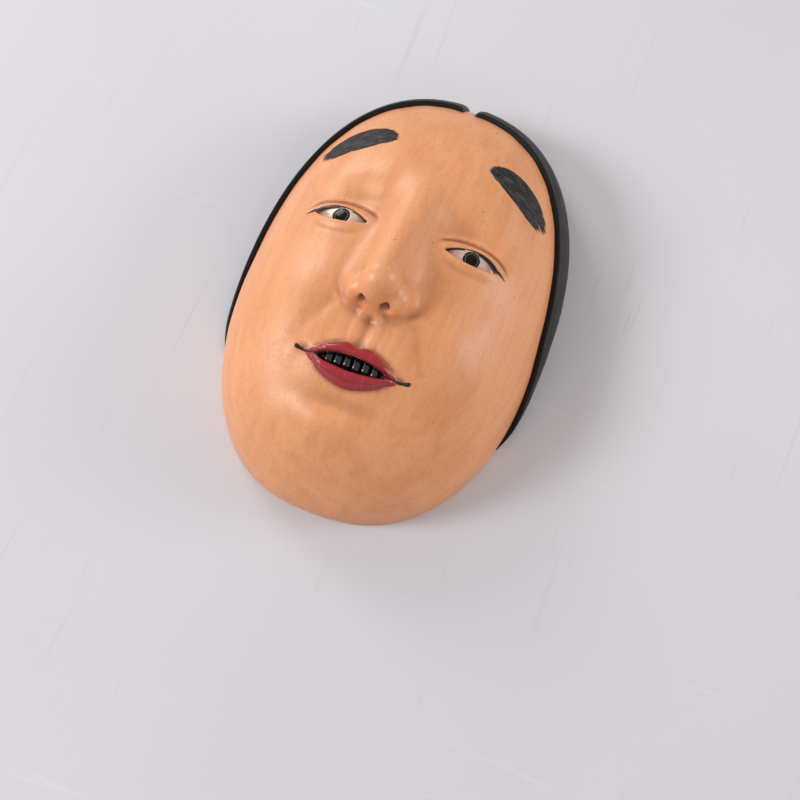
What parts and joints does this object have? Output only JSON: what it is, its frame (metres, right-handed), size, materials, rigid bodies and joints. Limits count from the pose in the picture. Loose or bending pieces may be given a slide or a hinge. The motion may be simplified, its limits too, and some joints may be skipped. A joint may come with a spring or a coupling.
{
  "type": "noh mask miniature",
  "caption": "Miniature carved wooden noh mask of the young-woman type, with raised black hair, inlaid eyes and teeth, lacquered lips, a hollow back and a cord bar.",
  "frame": {"origin": "centre of the footprint of the mask on the plane of its back rim, which is the plane it lies on", "axes": "+Z out of the face, +Y from the chin to the top of the hair, +X to the viewer's right"},
  "size_m": [0.0314, 0.046, 0.0175],
  "materials": {
    "boxwood": "polished boxwood with a thin satin oil finish",
    "black_ink": "brushed black ink stain on carved wood",
    "bone": "polished bone inlay",
    "horn": "polished dark horn inlay",
    "red_lacquer": "brushed red lacquer, satin",
    "black_lacquer": "glossy black lacquer"
  },
  "bodies": {
    "root": {"mask_body": "boxwood", "hair_left": "black_ink", "hair_right": "black_ink", "brow_left": "black_ink", "brow_right": "black_ink", "eye_white_left": "bone", "eye_white_right": "bone", "iris_left": "horn", "iris_right": "horn", "eyeliner_left": "black_ink", "eyeliner_right": "black_ink", "lip_upper": "red_lacquer", "lip_lower": "red_lacquer", "mouth_lining": "black_lacquer", "mouth_corners": "black_lacquer", "teeth": "black_lacquer", "cord_bar": "boxwood"}
  },
  "joints": []
}
